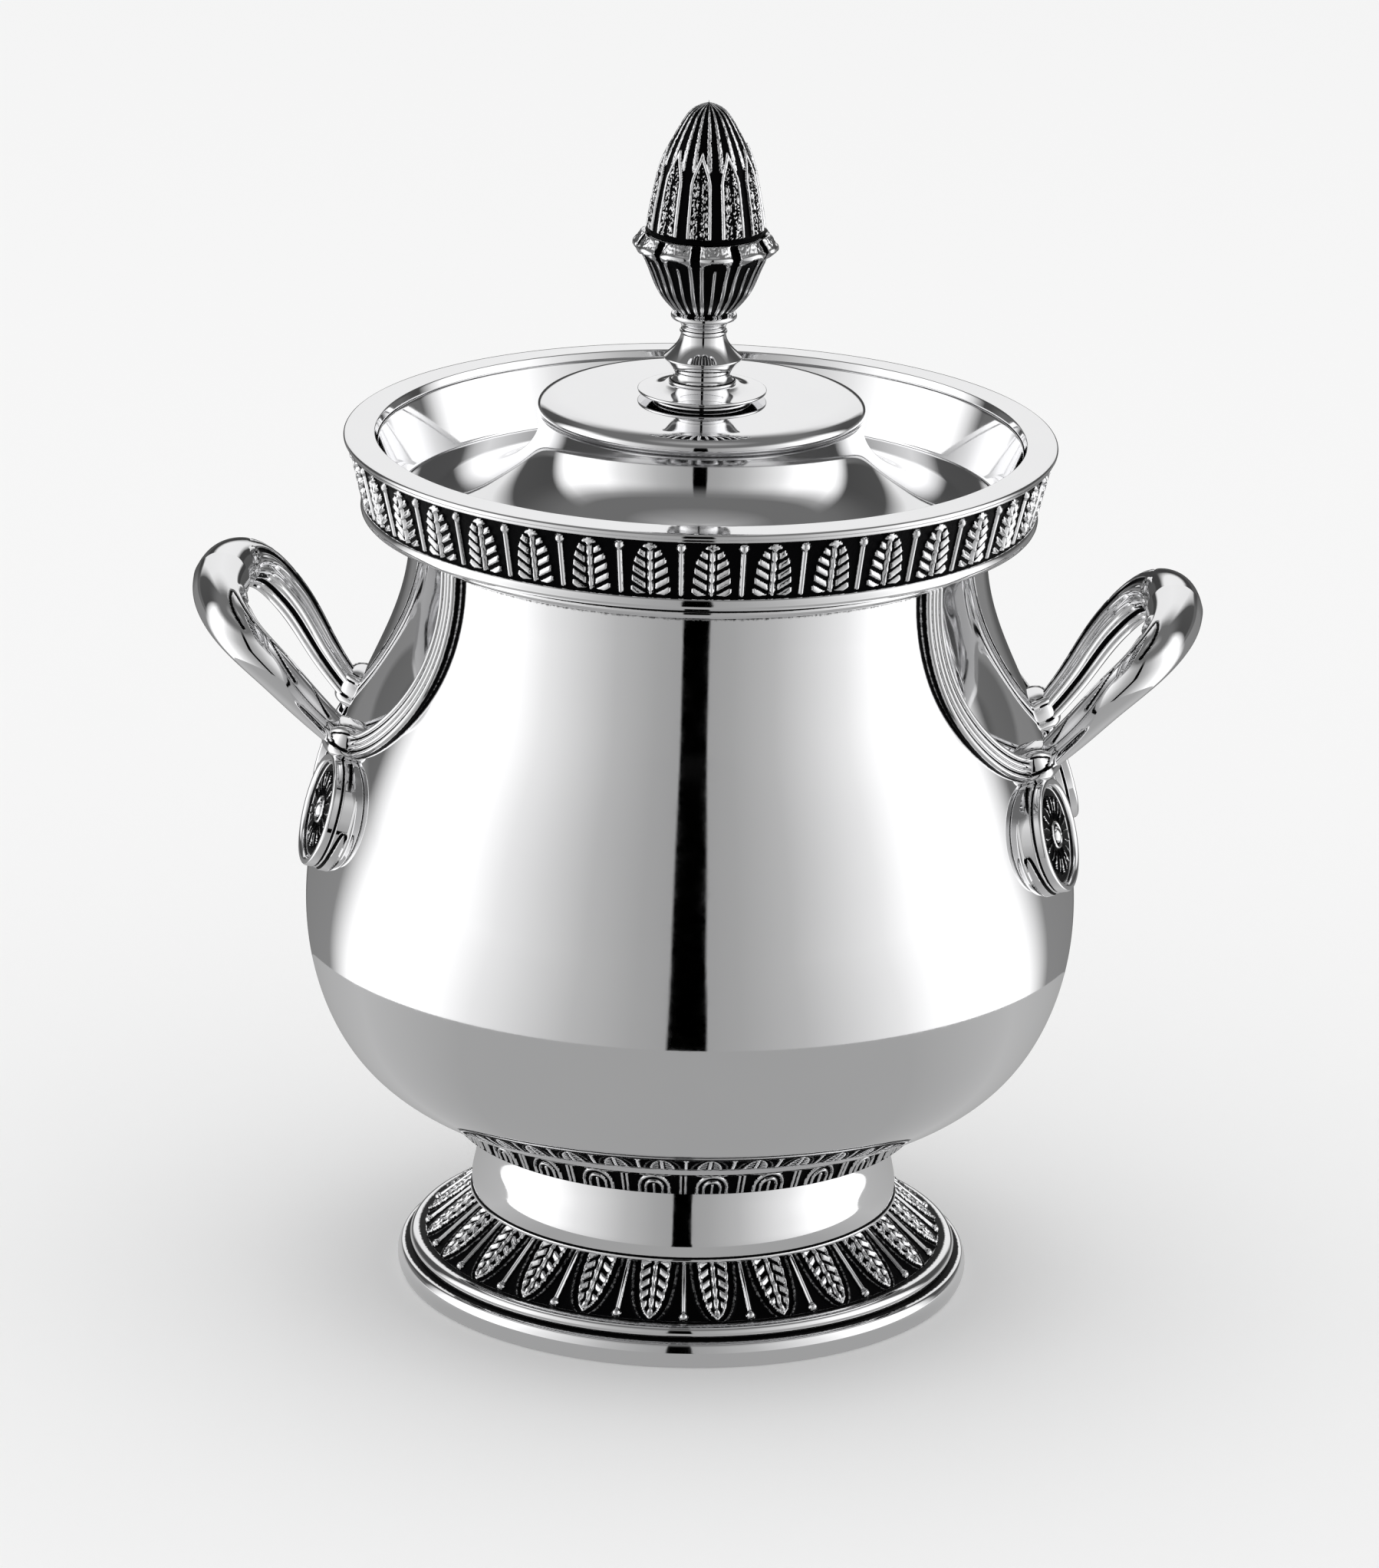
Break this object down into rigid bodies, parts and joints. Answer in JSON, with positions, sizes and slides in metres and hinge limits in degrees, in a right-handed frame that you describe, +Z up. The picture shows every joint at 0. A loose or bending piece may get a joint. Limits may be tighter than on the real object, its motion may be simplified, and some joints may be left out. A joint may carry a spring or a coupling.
{
  "type": "sugar bowl",
  "caption": "Footed pear-shaped silver sugar bowl with leaf-banded rim and foot, loop handles over rosettes, and a sunk lift-off lid with a bud finial.",
  "frame": {"origin": "centre of the ring that the bowl stands on, at the table surface", "axes": "+Z up along the bowl's axis; the two handles point along +X and -X; the front is -Y"},
  "size_m": [0.1284, 0.0982, 0.155],
  "materials": {
    "polished_silver": "mirror-polished silver plate",
    "oxidised_silver": "polished relief with blackened, oxidised recesses",
    "fastener_steel": "plain machined"
  },
  "bodies": {
    "bowl": {"bowl_shell": "polished_silver", "rim_lower_moulding": "polished_silver", "rim_frieze_band": "oxidised_silver", "rim_top_ring": "polished_silver", "mouth_gallery": "polished_silver", "belly_collar_frieze": "oxidised_silver", "foot_neck": "polished_silver", "foot_frieze_skirt": "oxidised_silver", "foot_rim_ring": "polished_silver", "right_bail": "polished_silver", "right_medallion_front": "polished_silver", "right_rosette_front": "oxidised_silver", "right_knot_front": "polished_silver", "right_strap_front": "polished_silver", "right_medallion_rear": "polished_silver", "right_rosette_rear": "oxidised_silver", "right_knot_rear": "polished_silver", "right_strap_rear": "polished_silver", "left_bail": "polished_silver", "left_medallion_front": "polished_silver", "left_rosette_front": "oxidised_silver", "left_knot_front": "polished_silver", "left_strap_front": "polished_silver", "left_medallion_rear": "polished_silver", "left_rosette_rear": "oxidised_silver", "left_knot_rear": "polished_silver", "left_strap_rear": "polished_silver"},
    "lid": {"lid_cover": "polished_silver", "lid_locating_collar": "polished_silver", "finial_base": "polished_silver", "finial_stem": "polished_silver", "finial_calyx": "oxidised_silver", "finial_bud": "oxidised_silver", "finial_stud": "fastener_steel", "finial_washer": "fastener_steel", "finial_nut": "fastener_steel"}
  },
  "joints": [
    {"name": "lid_lift", "type": "slide", "parent": "bowl", "child": "lid", "axis": [0, 0, 1], "range_m": [0, 0.08]}
  ]
}
